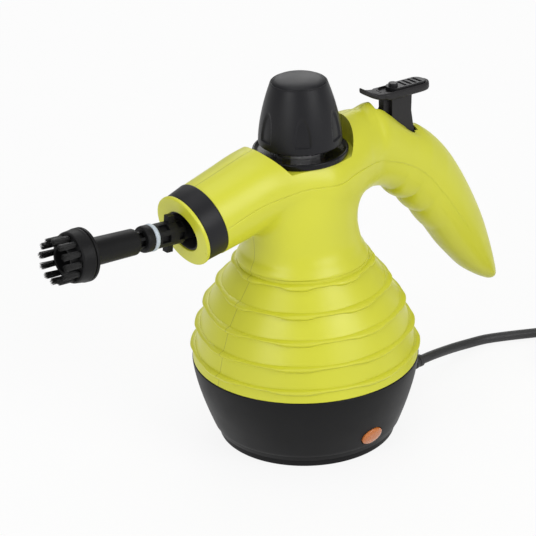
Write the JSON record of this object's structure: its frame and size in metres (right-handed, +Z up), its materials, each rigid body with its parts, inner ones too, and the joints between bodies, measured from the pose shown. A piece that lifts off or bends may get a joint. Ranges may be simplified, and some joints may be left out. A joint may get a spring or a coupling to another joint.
{
  "type": "handheld steam cleaner",
  "caption": "Lime green handheld steam cleaner with ribbed body, black base, safety cap, thumb lever, round brush on its nozzle and a mains cord put away as a coil.",
  "frame": {"origin": "centre of the underside of the base, on the floor", "axes": "+Z up along the body's axis, -X to the spout and brush, +X to the handle and cord, indicator lens on -Y"},
  "size_m": [0.4706, 0.2447, 0.2326],
  "materials": {
    "lime": "satin lime green moulded plastic",
    "base_black": "satin near-black moulded plastic",
    "cap_black": "satin charcoal moulded plastic",
    "gloss_black": "glossy black",
    "cord_black": "soft black cord sheath",
    "orange_lens": "translucent orange",
    "lamp_glass": "clear glass",
    "pale_silicone": "pale grey-blue silicone",
    "red_seal": "red silicone",
    "aluminium": "die cast",
    "steel": "plain",
    "brass": "plain",
    "white_ceramic": "white insulating body"
  },
  "bodies": {
    "body": {"housing_left": "lime", "housing_right": "lime", "spout_end_ring": "lime", "base_shell": "base_black", "bottom_cover": "base_black", "steam_spigot": "base_black", "spout_band": "cap_black", "outlet_socket": "cap_black", "filler_collar": "gloss_black", "strain_relief": "cord_black", "inner_lead": "cord_black", "cord_coil": "cord_black", "power_cord": "cord_black", "cord_tail": "cord_black", "plug_body": "cord_black", "cord_tie": "cord_black", "indicator_lens": "orange_lens", "neon_lamp": "lamp_glass", "spigot_o_ring": "pale_silicone", "boiler_gasket": "red_seal", "boiler_upper": "aluminium", "boiler_lower": "aluminium", "base_screw_1": "steel", "base_screw_2": "steel", "base_screw_3": "steel", "housing_screw_1": "steel", "housing_screw_2": "steel", "housing_screw_3": "steel", "housing_screw_4": "steel", "boiler_bolt_1": "steel", "boiler_bolt_2": "steel", "boiler_bolt_3": "steel", "boiler_bolt_4": "steel", "boiler_bolt_5": "steel", "boiler_bolt_6": "steel", "heating_element": "steel", "cap_spring": "steel", "valve_spring": "steel", "trigger_pin": "steel", "plug_pin_1": "steel", "plug_pin_2": "steel", "valve_body": "brass", "steam_inlet_pipe": "brass", "steam_outlet_pipe": "brass", "terminal_block": "white_ceramic", "thermostat": "white_ceramic", "thermal_fuse": "white_ceramic", "cord_clamp": "white_ceramic"},
    "trigger": {"trigger_lever": "cap_black"},
    "lock": {"lock_slider": "gloss_black"},
    "plunger": {"valve_plunger": "steel"},
    "cap_seal": {"cap_gasket": "red_seal"},
    "cap_core": {"cap_plug": "gloss_black"},
    "cap_outer": {"cap_shell": "cap_black"},
    "brush": {"brush_body": "base_black", "brush_bristles": "gloss_black"}
  },
  "joints": [
    {"name": "trigger_press", "type": "hinge", "parent": "body", "child": "trigger", "pos_m": [0.06, 0, 0.184], "axis": [0, 1, 0], "range_deg": [0, 7], "stiffness_Nm_per_rad": 0.5, "springref_deg": -11.46},
    {"name": "valve_stroke", "type": "slide", "parent": "body", "child": "plunger", "axis": [0, 0, -1], "range_m": [0, 0.0025], "deforming": ["valve_spring"]},
    {"name": "lock_slide", "type": "slide", "parent": "trigger", "child": "lock", "axis": [-0.998, 0, 0.063], "range_m": [0, 0.005]},
    {"name": "cap_rise", "type": "slide", "parent": "body", "child": "cap_seal", "axis": [0, 0, 1], "range_m": [0, 0.0081]},
    {"name": "cap_turn", "type": "hinge", "parent": "cap_seal", "child": "cap_core", "pos_m": [0, 0, 0.19], "axis": [0, 0, 1], "range_deg": [0, 720]},
    {"name": "cap_press", "type": "slide", "parent": "cap_core", "child": "cap_outer", "axis": [0, 0, 1], "range_m": [-0.003, 0], "stiffness_N_per_m": 800, "springref_m": 0.002, "deforming": ["cap_spring"]},
    {"name": "brush_pull", "type": "slide", "parent": "body", "child": "brush", "axis": [-0.9949, 0, 0.1011], "range_m": [0, 0.024]}
  ],
  "couplings": [
    {"joint": "valve_stroke", "follows": "trigger_press", "m_per_rad": 0.0155},
    {"joint": "cap_rise", "follows": "cap_turn", "m_per_rad": 0.00063662}
  ]
}
